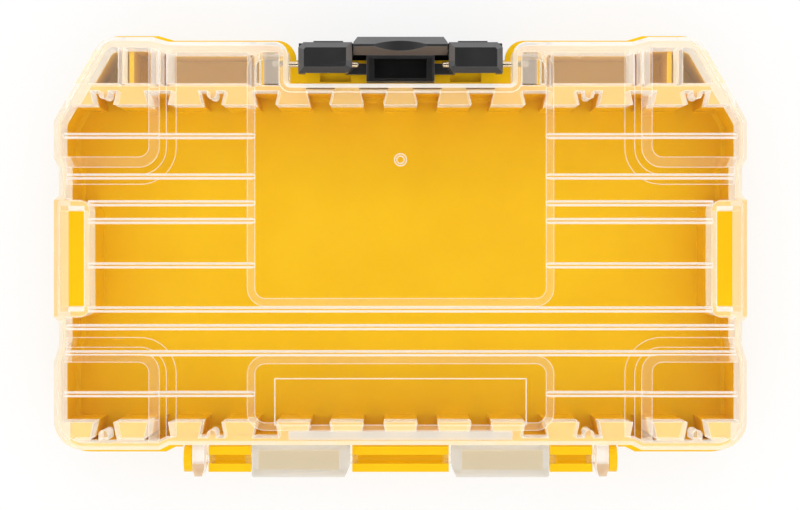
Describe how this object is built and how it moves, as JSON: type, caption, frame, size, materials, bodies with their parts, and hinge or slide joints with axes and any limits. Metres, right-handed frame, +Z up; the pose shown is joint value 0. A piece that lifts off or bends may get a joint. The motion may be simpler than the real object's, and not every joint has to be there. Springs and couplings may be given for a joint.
{
  "type": "tool case",
  "caption": "Flat plastic case with a clear ribbed lid on a snap hinge, a coloured tray, a front swing latch on short pins and toothed divider rows inside.",
  "frame": {"origin": "the middle of the case's footprint, on the face that it rests on", "axes": "+Z up out of the tray through the lid, +X to the case's right along its length, -Y towards the latch and +Y towards the hinge"},
  "size_m": [0.2116, 0.1344, 0.04],
  "materials": {
    "yellow_plastic": "moulded, satin gloss",
    "clear_plastic": "clear, polished",
    "black_plastic": "moulded, fine matte",
    "pin_steel": "polished"
  },
  "bodies": {
    "tray": {"base_tray": "yellow_plastic"},
    "lid": {"lid": "clear_plastic", "latch_pin_left": "pin_steel", "latch_pin_right": "pin_steel"},
    "latch": {"latch": "black_plastic"}
  },
  "joints": [
    {"name": "lid_hinge", "type": "hinge", "parent": "tray", "child": "lid", "pos_m": [0, 0.06243, 0.022], "axis": [-1, 0, 0], "range_deg": [0, 180]},
    {"name": "latch_pivot", "type": "hinge", "parent": "lid", "child": "latch", "pos_m": [0, -0.05767, 0.032], "axis": [-1, 0, 0], "range_deg": [0, 90]}
  ]
}
